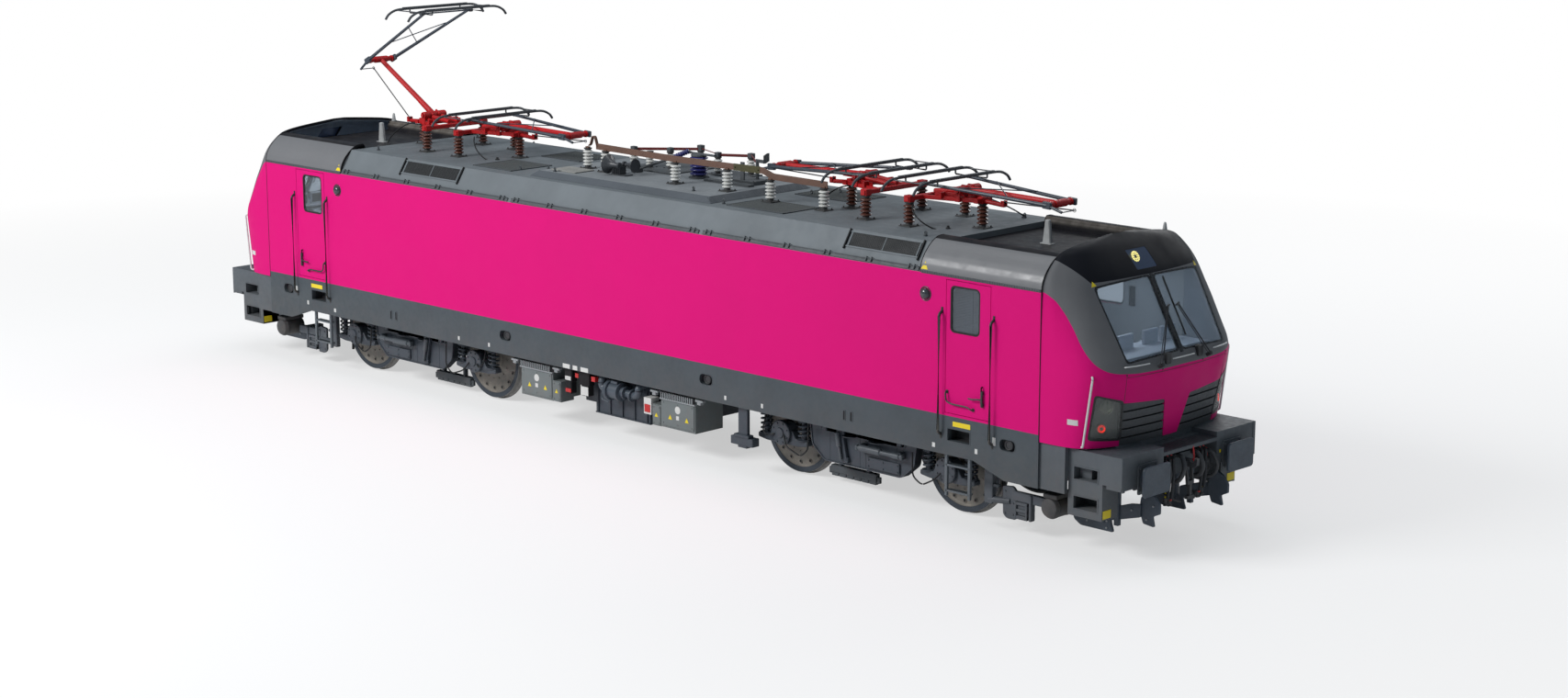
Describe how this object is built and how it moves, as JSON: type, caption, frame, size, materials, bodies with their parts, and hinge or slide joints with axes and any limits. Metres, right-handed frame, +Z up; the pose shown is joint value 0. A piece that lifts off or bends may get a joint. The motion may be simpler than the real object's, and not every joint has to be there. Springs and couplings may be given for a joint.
{
  "type": "electric locomotive",
  "caption": "Electric locomotive with a cab at each end, two-axle bogies, roof pantographs and bus bar, hinged cab doors, buffers and screw couplings.",
  "frame": {"origin": "middle of the locomotive between the buffer faces and between the sides, at the tips of the wheel flanges", "axes": "+X to the leading cab, +Y to its left side, +Z up"},
  "size_m": [18.98, 3.168, 5.9084],
  "materials": {
    "body_paint": "gloss",
    "sill_paint": "satin",
    "roof_paint": "satin",
    "screen_glass": "polished",
    "lamp_glass": "polished",
    "dark_plastic": "matte",
    "bare_steel": "worn",
    "cab_lining": "matte",
    "seat_fabric": "matte",
    "gear_paint": "satin",
    "bogie_paint": "satin",
    "rail_paint": "satin",
    "hose_rubber": "matte",
    "pantograph_red": "satin",
    "pantograph_dark": "satin",
    "contact_strip": "worn",
    "brown_ceramic": "glazed",
    "white_ceramic": "glazed",
    "busbar": "satin",
    "switch_red": "satin",
    "arrester_blue": "glazed",
    "white_plastic": "satin",
    "wheel_steel": "rolled bright at the tread"
  },
  "bodies": {
    "locomotive": {"aerials": "white_plastic", "arrester": "arrester_blue", "bogie_pins": "bare_steel", "brake_hoses": "hose_rubber", "buffers": "bare_steel", "bus_bar": "busbar", "bus_insulators": "white_ceramic", "cab_bulkheads": "cab_lining", "cab_desks": "dark_plastic", "cab_noses": "body_paint", "cab_roofs": "roof_paint", "cab_seats": "seat_fabric", "converter_block": "gear_paint", "cooling_pumps": "gear_paint", "draw_hooks": "bare_steel", "equipment_boxes": "gear_paint", "floor_frame": "sill_paint", "handrails": "rail_paint", "headstocks": "sill_paint", "horns": "bare_steel", "ladders": "bogie_paint", "lamp_units": "lamp_glass", "middle_roof": "roof_paint", "nose_grilles": "dark_plastic", "pantograph_frames": "pantograph_red", "pantograph_insulators": "brown_ceramic", "rail_guards": "bogie_paint", "roof_deck": "roof_paint", "screw_couplings": "bare_steel", "side_sills": "sill_paint", "side_walls": "body_paint", "switch_gear": "switch_red", "transformer": "gear_paint", "windscreens": "screen_glass"},
    "bogie_front": {"bogie_frame_front": "bogie_paint"},
    "wheelset_front_outer": {"wheelset_front_outer": "wheel_steel"},
    "wheelset_front_inner": {"wheelset_front_inner": "wheel_steel"},
    "door_front_left": {"door_front_left": "body_paint"},
    "door_front_right": {"door_front_right": "body_paint"},
    "bogie_rear": {"bogie_frame_rear": "bogie_paint"},
    "wheelset_rear_outer": {"wheelset_rear_outer": "wheel_steel"},
    "wheelset_rear_inner": {"wheelset_rear_inner": "wheel_steel"},
    "door_rear_left": {"door_rear_left": "body_paint"},
    "door_rear_right": {"door_rear_right": "body_paint"},
    "lower_arm_p1": {"lower_arm_p1": "pantograph_red"},
    "upper_arm_p1": {"upper_arm_p1": "pantograph_dark"},
    "head_p1": {"head_p1": "contact_strip"},
    "thrust_rod_p1": {"thrust_rod_p1": "pantograph_dark"},
    "lower_arm_p2": {"lower_arm_p2": "pantograph_red"},
    "upper_arm_p2": {"upper_arm_p2": "pantograph_dark"},
    "head_p2": {"head_p2": "contact_strip"},
    "thrust_rod_p2": {"thrust_rod_p2": "pantograph_dark"},
    "lower_arm_p3": {"lower_arm_p3": "pantograph_red"},
    "upper_arm_p3": {"upper_arm_p3": "pantograph_dark"},
    "head_p3": {"head_p3": "contact_strip"},
    "thrust_rod_p3": {"thrust_rod_p3": "pantograph_dark"},
    "lower_arm_p4": {"lower_arm_p4": "pantograph_red"},
    "upper_arm_p4": {"upper_arm_p4": "pantograph_dark"},
    "head_p4": {"head_p4": "contact_strip"},
    "thrust_rod_p4": {"thrust_rod_p4": "pantograph_dark"}
  },
  "joints": [
    {"name": "bogie_front_yaw", "type": "hinge", "parent": "locomotive", "child": "bogie_front", "pos_m": [4.8, 0, 0.655], "axis": [0, 0, 1], "range_deg": [-4, 4]},
    {"name": "wheelset_front_outer_spin", "type": "hinge", "parent": "bogie_front", "child": "wheelset_front_outer", "pos_m": [6.3, 0, 0.655], "axis": [0, 1, 0], "continuous": true},
    {"name": "wheelset_front_inner_spin", "type": "hinge", "parent": "bogie_front", "child": "wheelset_front_inner", "pos_m": [3.3, 0, 0.655], "axis": [0, 1, 0], "continuous": true},
    {"name": "door_front_left_hinge", "type": "hinge", "parent": "locomotive", "child": "door_front_left", "pos_m": [6.562, 1.44, 2.38], "axis": [0, 0, -1], "range_deg": [0, 85]},
    {"name": "door_front_right_hinge", "type": "hinge", "parent": "locomotive", "child": "door_front_right", "pos_m": [6.562, -1.44, 2.38], "axis": [0, 0, 1], "range_deg": [0, 85]},
    {"name": "bogie_rear_yaw", "type": "hinge", "parent": "locomotive", "child": "bogie_rear", "pos_m": [-4.8, 0, 0.655], "axis": [0, 0, 1], "range_deg": [-4, 4]},
    {"name": "wheelset_rear_outer_spin", "type": "hinge", "parent": "bogie_rear", "child": "wheelset_rear_outer", "pos_m": [-6.3, 0, 0.655], "axis": [0, 1, 0], "continuous": true},
    {"name": "wheelset_rear_inner_spin", "type": "hinge", "parent": "bogie_rear", "child": "wheelset_rear_inner", "pos_m": [-3.3, 0, 0.655], "axis": [0, 1, 0], "continuous": true},
    {"name": "door_rear_left_hinge", "type": "hinge", "parent": "locomotive", "child": "door_rear_left", "pos_m": [-6.562, 1.44, 2.38], "axis": [0, 0, 1], "range_deg": [0, 85]},
    {"name": "door_rear_right_hinge", "type": "hinge", "parent": "locomotive", "child": "door_rear_right", "pos_m": [-6.562, -1.44, 2.38], "axis": [0, 0, -1], "range_deg": [0, 85]},
    {"name": "lower_arm_p1_lift", "type": "hinge", "parent": "locomotive", "child": "lower_arm_p1", "pos_m": [-5.61, 0, 4.16], "axis": [0, 1, 0], "range_deg": [-31.1, 0]},
    {"name": "upper_arm_p1_fold", "type": "hinge", "parent": "lower_arm_p1", "child": "upper_arm_p1", "pos_m": [-6.9469, 0, 4.94435], "axis": [0, -1, 0], "range_deg": [-55.2, 0]},
    {"name": "head_p1_level", "type": "hinge", "parent": "upper_arm_p1", "child": "head_p1", "pos_m": [-5.22725, 0, 5.82055], "axis": [0, 1, 0], "range_deg": [-24.1, 0]},
    {"name": "thrust_rod_p1_swing", "type": "hinge", "parent": "locomotive", "child": "thrust_rod_p1", "pos_m": [-6.23, 0, 4.05], "axis": [0, 1, 0], "range_deg": [-37.76, 0]},
    {"name": "lower_arm_p2_lift", "type": "hinge", "parent": "locomotive", "child": "lower_arm_p2", "pos_m": [-3.77, 0, 4.16], "axis": [0, -1, 0], "range_deg": [0, 31.1]},
    {"name": "upper_arm_p2_fold", "type": "hinge", "parent": "lower_arm_p2", "child": "upper_arm_p2", "pos_m": [-2.22012, 0, 4.14106], "axis": [0, 1, 0], "range_deg": [0, 55.2]},
    {"name": "head_p2_level", "type": "hinge", "parent": "upper_arm_p2", "child": "head_p2", "pos_m": [-4.14747, 0, 4.24207], "axis": [0, -1, 0], "range_deg": [0, 24.1]},
    {"name": "thrust_rod_p2_swing", "type": "hinge", "parent": "locomotive", "child": "thrust_rod_p2", "pos_m": [-3.15, 0, 4.05], "axis": [0, -1, 0], "range_deg": [0, 37.76]},
    {"name": "lower_arm_p3_lift", "type": "hinge", "parent": "locomotive", "child": "lower_arm_p3", "pos_m": [3.77, 0, 4.16], "axis": [0, 1, 0], "range_deg": [0, 31.1]},
    {"name": "upper_arm_p3_fold", "type": "hinge", "parent": "lower_arm_p3", "child": "upper_arm_p3", "pos_m": [2.22012, 0, 4.14106], "axis": [0, -1, 0], "range_deg": [0, 55.2]},
    {"name": "head_p3_level", "type": "hinge", "parent": "upper_arm_p3", "child": "head_p3", "pos_m": [4.14747, 0, 4.24207], "axis": [0, 1, 0], "range_deg": [0, 24.1]},
    {"name": "thrust_rod_p3_swing", "type": "hinge", "parent": "locomotive", "child": "thrust_rod_p3", "pos_m": [3.15, 0, 4.05], "axis": [0, 1, 0], "range_deg": [0, 37.76]},
    {"name": "lower_arm_p4_lift", "type": "hinge", "parent": "locomotive", "child": "lower_arm_p4", "pos_m": [5.61, 0, 4.16], "axis": [0, -1, 0], "range_deg": [0, 31.1]},
    {"name": "upper_arm_p4_fold", "type": "hinge", "parent": "lower_arm_p4", "child": "upper_arm_p4", "pos_m": [7.15988, 0, 4.14106], "axis": [0, 1, 0], "range_deg": [0, 55.2]},
    {"name": "head_p4_level", "type": "hinge", "parent": "upper_arm_p4", "child": "head_p4", "pos_m": [5.23253, 0, 4.24207], "axis": [0, -1, 0], "range_deg": [0, 24.1]},
    {"name": "thrust_rod_p4_swing", "type": "hinge", "parent": "locomotive", "child": "thrust_rod_p4", "pos_m": [6.23, 0, 4.05], "axis": [0, -1, 0], "range_deg": [0, 37.76]}
  ],
  "couplings": [
    {"joint": "upper_arm_p1_fold", "follows": "lower_arm_p1_lift", "ratio": 1.7717},
    {"joint": "head_p1_level", "follows": "lower_arm_p1_lift", "ratio": 0.7717},
    {"joint": "thrust_rod_p1_swing", "follows": "lower_arm_p1_lift", "ratio": 1.211},
    {"joint": "upper_arm_p2_fold", "follows": "lower_arm_p2_lift", "ratio": 1.7717},
    {"joint": "head_p2_level", "follows": "lower_arm_p2_lift", "ratio": 0.7717},
    {"joint": "thrust_rod_p2_swing", "follows": "lower_arm_p2_lift", "ratio": 1.211},
    {"joint": "upper_arm_p3_fold", "follows": "lower_arm_p3_lift", "ratio": 1.7717},
    {"joint": "head_p3_level", "follows": "lower_arm_p3_lift", "ratio": 0.7717},
    {"joint": "thrust_rod_p3_swing", "follows": "lower_arm_p3_lift", "ratio": 1.211},
    {"joint": "upper_arm_p4_fold", "follows": "lower_arm_p4_lift", "ratio": 1.7717},
    {"joint": "head_p4_level", "follows": "lower_arm_p4_lift", "ratio": 0.7717},
    {"joint": "thrust_rod_p4_swing", "follows": "lower_arm_p4_lift", "ratio": 1.211}
  ]
}
